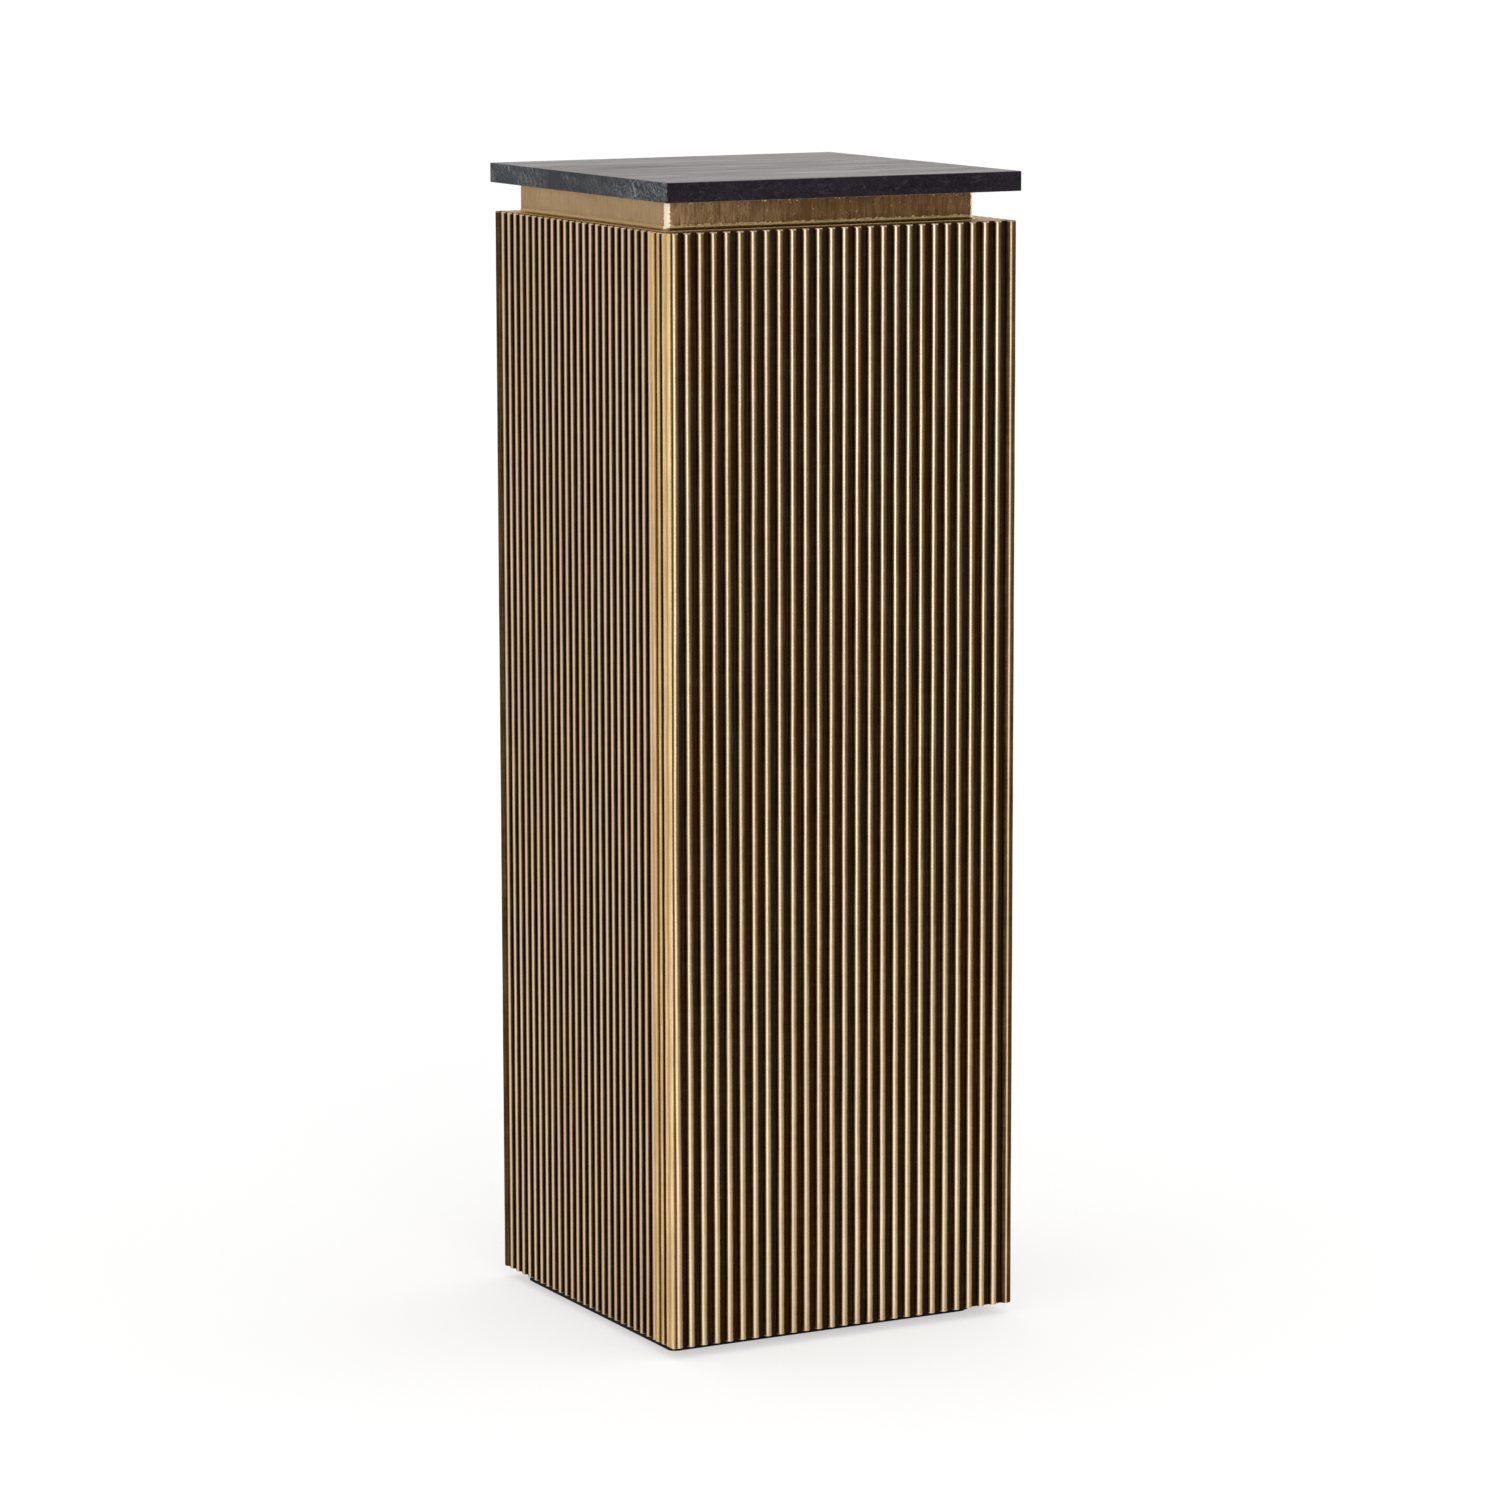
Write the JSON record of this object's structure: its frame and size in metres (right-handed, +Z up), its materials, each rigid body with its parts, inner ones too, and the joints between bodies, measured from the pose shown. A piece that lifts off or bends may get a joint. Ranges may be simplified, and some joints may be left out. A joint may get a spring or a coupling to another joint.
{
  "type": "pedestal column stand",
  "caption": "Tall square display pedestal: marble slab top on a short coved neck, column clad in half-round brass ribs, recessed black plinth.",
  "frame": {"origin": "on the floor, under the middle of the column and its slab", "axes": "+Z up, the front face looks along -Y, the face with the cladding seam looks along -X"},
  "size_m": [0.31, 0.31, 0.9144],
  "materials": {
    "marble": "honed black marble with a few white veins",
    "bronzed_brass": "brown bronzed brass, satin, fine upright streaks",
    "antique_brass": "antique brass, satin crowns, dark oxide in the grooves",
    "bead_brass": "antique brass, rubbed golden, finely grained",
    "fibreboard": "raw medium density fibreboard",
    "pine": "planed softwood",
    "black_paint": "board painted matt black",
    "mat_rubber": "matt black anti-slip sheet",
    "silicone": "cured silicone adhesive",
    "nail_steel": "bright steel finish nails"
  },
  "bodies": {
    "root": {"top_slab": "marble", "slab_adhesive": "silicone", "neck_front": "bronzed_brass", "neck_right": "bronzed_brass", "neck_back": "bronzed_brass", "neck_left": "bronzed_brass", "front_panel": "antique_brass", "right_panel": "antique_brass", "back_panel": "antique_brass", "left_panel": "antique_brass", "corner_bead_front_left": "bead_brass", "corner_bead_front_right": "bead_brass", "corner_bead_back_right": "bead_brass", "corner_bead_back_left": "bead_brass", "front_board": "fibreboard", "back_board": "fibreboard", "left_board": "fibreboard", "right_board": "fibreboard", "batten_front_left": "pine", "batten_front_right": "pine", "batten_back_left": "pine", "batten_back_right": "pine", "middle_board": "fibreboard", "top_board": "fibreboard", "ledge_plate": "bronzed_brass", "neck_block": "fibreboard", "bottom_board": "fibreboard", "plinth_board": "black_paint", "base_mat": "mat_rubber", "frame_nails": "nail_steel", "neck_nails": "nail_steel", "plinth_nails": "nail_steel"}
  },
  "joints": []
}
